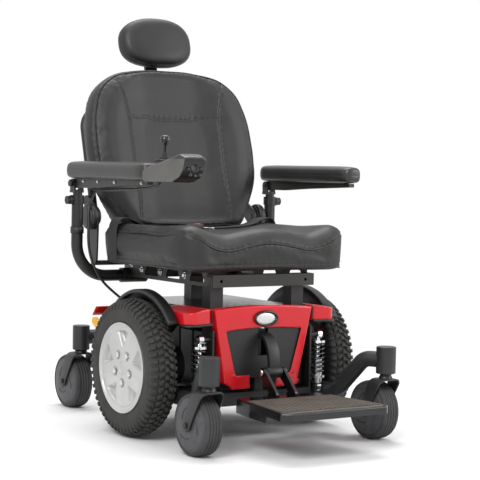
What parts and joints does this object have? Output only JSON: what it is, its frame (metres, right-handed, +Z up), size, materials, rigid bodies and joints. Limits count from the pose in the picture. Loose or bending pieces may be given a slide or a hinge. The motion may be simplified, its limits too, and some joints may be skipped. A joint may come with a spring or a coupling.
{
  "type": "power wheelchair",
  "caption": "Mid-wheel-drive power wheelchair with sprung casters, red shroud, padded captain's seat, flip-up armrests and joystick.",
  "frame": {"origin": "on the floor under the middle of the chair's footprint", "axes": "+Z up, -Y the way the chair drives, +X the rider's left"},
  "size_m": [0.69, 1.094, 1.1154],
  "materials": {
    "frame_steel": "black powder coat, fine texture",
    "fork_steel": "black powder coat, satin",
    "battery_case": "moulded polypropylene",
    "module_case": "moulded plastic with cooling ribs",
    "cover_plastic": "fine grained moulded plastic",
    "shroud_red": "gloss painted plastic",
    "badge": "glossy, bare",
    "motor_alloy": "black painted casting",
    "lever_yellow": "moulded plastic",
    "wheel_silver": "silver painted",
    "tyre": "moulded rubber",
    "caster_rubber": "solid rubber on a plastic hub",
    "shock_chrome": "polished",
    "shock_alloy": "turned",
    "spring_steel": "black coated",
    "footplate_plastic": "moulded",
    "foot_mat": "ribbed mat",
    "seat_vinyl": "grained vinyl",
    "back_vinyl": "grained vinyl",
    "arm_steel": "black powder coat",
    "arm_tube_steel": "black powder coat",
    "arm_pad_foam": "self-skinned foam",
    "controller_plastic": "moulded grey plastic",
    "gimbal_plastic": "moulded",
    "joystick_rubber": "moulded ball knob",
    "cable_jacket": "PVC jacket",
    "belt_webbing": "woven polyester"
  },
  "bodies": {
    "base": {"base_frame": "frame_steel", "batteries": "battery_case", "electronics_module": "module_case", "top_cover": "cover_plastic", "front_shroud": "shroud_red", "access_panel": "cover_plastic", "badge": "badge", "wing_left": "shroud_red", "wing_right": "shroud_red", "fender_left": "cover_plastic", "fender_right": "cover_plastic", "motor_left": "motor_alloy", "motor_right": "motor_alloy", "shock_rod_left": "shock_chrome", "shock_rod_right": "shock_chrome", "seat_towers": "frame_steel", "seat_frame": "frame_steel", "seat_cushion": "seat_vinyl", "arm_post_left": "arm_steel", "arm_post_right": "arm_steel", "cable_lower": "cable_jacket", "lap_belt": "belt_webbing"},
    "drive_wheel_left": {"wheel_left": "wheel_silver", "tyre_left": "tyre"},
    "front_arm_left": {"front_arm_left": "frame_steel"},
    "shock_left": {"shock_body_left": "shock_alloy", "spring_left": "spring_steel"},
    "front_fork_left": {"front_fork_left": "fork_steel"},
    "front_caster_left": {"front_caster_left": "caster_rubber"},
    "drive_wheel_right": {"wheel_right": "wheel_silver", "tyre_right": "tyre"},
    "front_arm_right": {"front_arm_right": "frame_steel"},
    "shock_right": {"shock_body_right": "shock_alloy", "spring_right": "spring_steel"},
    "front_fork_right": {"front_fork_right": "fork_steel"},
    "front_caster_right": {"front_caster_right": "caster_rubber"},
    "rear_beam": {"rear_beam": "frame_steel"},
    "rear_fork_left": {"rear_fork_left": "fork_steel"},
    "rear_caster_left": {"rear_caster_left": "caster_rubber"},
    "rear_fork_right": {"rear_fork_right": "fork_steel"},
    "rear_caster_right": {"rear_caster_right": "caster_rubber"},
    "foot_hanger": {"foot_hanger": "frame_steel"},
    "footplate": {"footplate": "footplate_plastic", "foot_mat": "foot_mat"},
    "back": {"back_frame": "frame_steel", "backrest": "back_vinyl"},
    "headrest_post": {"headrest_post": "frame_steel"},
    "headrest": {"headrest": "back_vinyl"},
    "arm_tube_left": {"arm_tube_left": "arm_tube_steel"},
    "armrest_left": {"arm_rail_left": "frame_steel", "arm_pad_left": "arm_pad_foam"},
    "arm_tube_right": {"arm_tube_right": "arm_tube_steel"},
    "armrest_right": {"arm_rail_right": "frame_steel", "arm_pad_right": "arm_pad_foam", "controller_body": "controller_plastic", "cable_arm": "cable_jacket"},
    "joystick_gimbal": {"joystick_gimbal": "gimbal_plastic"},
    "joystick": {"joystick": "joystick_rubber"},
    "freewheel_lever_left": {"freewheel_lever_left": "lever_yellow"},
    "freewheel_lever_right": {"freewheel_lever_right": "lever_yellow"}
  },
  "joints": [
    {"name": "drive_wheel_left_spin", "type": "hinge", "parent": "base", "child": "drive_wheel_left", "pos_m": [0.275, -0.025, 0.178], "axis": [1, 0, 0], "continuous": true},
    {"name": "front_arm_left_swing", "type": "hinge", "parent": "base", "child": "front_arm_left", "pos_m": [0.207, -0.085, 0.115], "axis": [-1, 0, 0], "range_deg": [-5, 6], "stiffness_Nm_per_rad": 2500, "springref_deg": -0.46},
    {"name": "shock_left_slide", "type": "slide", "parent": "base", "child": "shock_left", "axis": [0, 0, 1], "range_m": [-0.0125, 0.0125], "deforming": ["spring_left"]},
    {"name": "front_caster_left_swivel", "type": "hinge", "parent": "front_arm_left", "child": "front_fork_left", "pos_m": [0.268, -0.382, 0.205], "axis": [0, 0, 1], "continuous": true},
    {"name": "front_caster_left_spin", "type": "hinge", "parent": "front_fork_left", "child": "front_caster_left", "pos_m": [0.268, -0.337, 0.076], "axis": [1, 0, 0], "continuous": true},
    {"name": "drive_wheel_right_spin", "type": "hinge", "parent": "base", "child": "drive_wheel_right", "pos_m": [-0.275, -0.025, 0.178], "axis": [1, 0, 0], "continuous": true},
    {"name": "front_arm_right_swing", "type": "hinge", "parent": "base", "child": "front_arm_right", "pos_m": [-0.207, -0.085, 0.115], "axis": [-1, 0, 0], "range_deg": [-5, 6], "stiffness_Nm_per_rad": 2500, "springref_deg": -0.46},
    {"name": "shock_right_slide", "type": "slide", "parent": "base", "child": "shock_right", "axis": [0, 0, 1], "range_m": [-0.0125, 0.0125], "deforming": ["spring_right"]},
    {"name": "front_caster_right_swivel", "type": "hinge", "parent": "front_arm_right", "child": "front_fork_right", "pos_m": [-0.268, -0.382, 0.205], "axis": [0, 0, 1], "continuous": true},
    {"name": "front_caster_right_spin", "type": "hinge", "parent": "front_fork_right", "child": "front_caster_right", "pos_m": [-0.268, -0.337, 0.076], "axis": [1, 0, 0], "continuous": true},
    {"name": "rear_beam_rock", "type": "hinge", "parent": "base", "child": "rear_beam", "pos_m": [0, 0.255, 0.205], "axis": [0, 1, 0], "range_deg": [-5, 5]},
    {"name": "rear_caster_left_swivel", "type": "hinge", "parent": "rear_beam", "child": "rear_fork_left", "pos_m": [0.19, 0.426, 0.2], "axis": [0, 0, 1], "continuous": true},
    {"name": "rear_caster_left_spin", "type": "hinge", "parent": "rear_fork_left", "child": "rear_caster_left", "pos_m": [0.19, 0.471, 0.076], "axis": [1, 0, 0], "continuous": true},
    {"name": "rear_caster_right_swivel", "type": "hinge", "parent": "rear_beam", "child": "rear_fork_right", "pos_m": [-0.19, 0.426, 0.2], "axis": [0, 0, 1], "continuous": true},
    {"name": "rear_caster_right_spin", "type": "hinge", "parent": "rear_fork_right", "child": "rear_caster_right", "pos_m": [-0.19, 0.471, 0.076], "axis": [1, 0, 0], "continuous": true},
    {"name": "foot_hanger_height", "type": "slide", "parent": "base", "child": "foot_hanger", "axis": [0, 0, 1], "range_m": [-0.03, 0.01]},
    {"name": "footplate_flip", "type": "hinge", "parent": "foot_hanger", "child": "footplate", "pos_m": [0, -0.26, 0.178], "axis": [-1, 0, 0], "range_deg": [0, 92]},
    {"name": "back_recline", "type": "hinge", "parent": "base", "child": "back", "pos_m": [0, 0.23, 0.556], "axis": [-1, 0, 0], "range_deg": [-6, 25]},
    {"name": "headrest_height", "type": "slide", "parent": "back", "child": "headrest_post", "axis": [0, 0.2723, 0.9622], "range_m": [0, 0.06]},
    {"name": "headrest_tilt", "type": "hinge", "parent": "headrest_post", "child": "headrest", "pos_m": [0, 0.40401, 1.02995], "axis": [-1, 0, 0], "range_deg": [-6, 18]},
    {"name": "armrest_left_height", "type": "slide", "parent": "base", "child": "arm_tube_left", "axis": [0, 0, 1], "range_m": [0, 0.06]},
    {"name": "armrest_left_flip", "type": "hinge", "parent": "arm_tube_left", "child": "armrest_left", "pos_m": [0.312, 0.231, 0.645], "axis": [-1, 0, 0], "range_deg": [0, 95]},
    {"name": "armrest_right_height", "type": "slide", "parent": "base", "child": "arm_tube_right", "axis": [0, 0, 1], "range_m": [0, 0.06]},
    {"name": "armrest_right_flip", "type": "hinge", "parent": "arm_tube_right", "child": "armrest_right", "pos_m": [-0.312, 0.231, 0.645], "axis": [-1, 0, 0], "range_deg": [0, 95]},
    {"name": "joystick_fore_aft", "type": "hinge", "parent": "armrest_right", "child": "joystick_gimbal", "pos_m": [-0.31, -0.227, 0.696], "axis": [1, 0, 0], "range_deg": [-18, 18], "stiffness_Nm_per_rad": 0.6},
    {"name": "joystick_side", "type": "hinge", "parent": "joystick_gimbal", "child": "joystick", "pos_m": [-0.31, -0.227, 0.696], "axis": [0, 1, 0], "range_deg": [-18, 18], "stiffness_Nm_per_rad": 0.6},
    {"name": "freewheel_lever_left_turn", "type": "hinge", "parent": "base", "child": "freewheel_lever_left", "pos_m": [0.212, 0.189, 0.222], "axis": [-1, 0, 0], "range_deg": [0, 30]},
    {"name": "freewheel_lever_right_turn", "type": "hinge", "parent": "base", "child": "freewheel_lever_right", "pos_m": [-0.212, 0.189, 0.222], "axis": [-1, 0, 0], "range_deg": [0, 30]}
  ],
  "couplings": [
    {"joint": "shock_left_slide", "follows": "front_arm_left_swing", "m_per_rad": 0.115},
    {"joint": "shock_right_slide", "follows": "front_arm_right_swing", "m_per_rad": 0.115}
  ]
}
